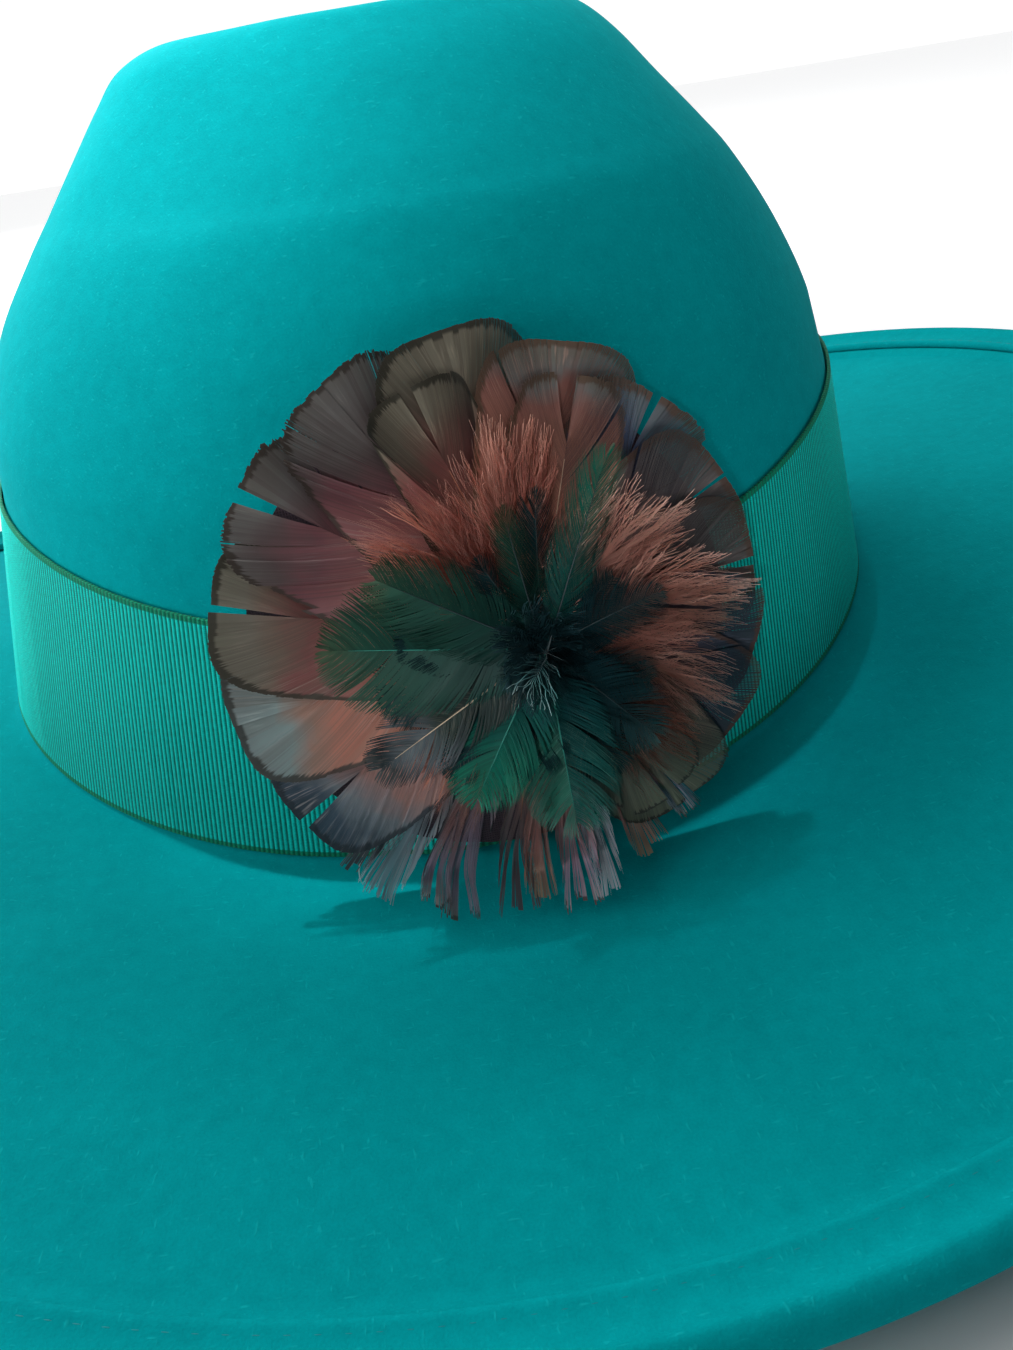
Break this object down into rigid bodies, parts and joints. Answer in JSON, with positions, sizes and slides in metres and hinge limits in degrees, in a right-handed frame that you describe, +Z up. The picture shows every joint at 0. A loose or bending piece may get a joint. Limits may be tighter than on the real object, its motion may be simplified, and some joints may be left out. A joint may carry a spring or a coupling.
{
  "type": "wide-brim felt hat",
  "caption": "Wide-brim felt fedora with a grosgrain ribbon band and a clip-on round feather rosette on the wearer's left side.",
  "frame": {"origin": "point under the middle of the brim, level with the hat's lowest point", "axes": "-X to the front of the hat, -Y to the wearer's left side with the rosette, +Z up"},
  "size_m": [0.4084, 0.3704, 0.1425],
  "materials": {
    "felt": "matte wool felt, short nap",
    "wire": "satin spring steel",
    "ribbon": "ribbed grosgrain, soft sheen",
    "sweatband": "ribbed grosgrain, matt",
    "clip": "satin nickel",
    "backing": "coarse dark weave",
    "outer_feather": "bronze-brown feather, satin",
    "plume": "fluffy rust plume, matt",
    "inner_feather": "green-black feather, iridescent satin",
    "fringe": "mauve-brown split barbs, satin",
    "tuft": "blue-black tuft, matt"
  },
  "bodies": {
    "hat": {"felt_hood": "felt", "brim_wire": "wire", "ribbon_band": "ribbon", "ribbon_join_tab": "ribbon", "sweatband": "sweatband"},
    "rosette": {"rosette_clip": "clip", "rosette_backing": "backing", "fringe_1": "fringe", "fringe_2": "fringe", "fringe_3": "fringe", "fringe_4": "fringe", "fringe_5": "fringe", "outer_feather_01": "outer_feather", "outer_feather_02": "outer_feather", "outer_feather_03": "outer_feather", "outer_feather_04": "outer_feather", "outer_feather_05": "outer_feather", "outer_feather_06": "outer_feather", "outer_feather_07": "outer_feather", "outer_feather_08": "outer_feather", "outer_feather_09": "outer_feather", "outer_feather_10": "outer_feather", "outer_feather_11": "outer_feather", "outer_feather_12": "outer_feather", "outer_feather_13": "outer_feather", "plume_01": "plume", "plume_02": "plume", "plume_03": "plume", "plume_04": "plume", "plume_05": "plume", "plume_06": "plume", "plume_07": "plume", "plume_08": "plume", "plume_09": "plume", "inner_feather_01": "inner_feather", "inner_feather_02": "inner_feather", "inner_feather_03": "inner_feather", "inner_feather_04": "inner_feather", "inner_feather_05": "inner_feather", "inner_feather_06": "inner_feather", "inner_feather_07": "inner_feather", "inner_feather_08": "inner_feather", "inner_feather_09": "inner_feather", "centre_tuft": "tuft"}
  },
  "joints": [
    {"name": "rosette_lift", "type": "slide", "parent": "hat", "child": "rosette", "axis": [0, 0.0476, 0.9989], "range_m": [0, 0.036]}
  ]
}
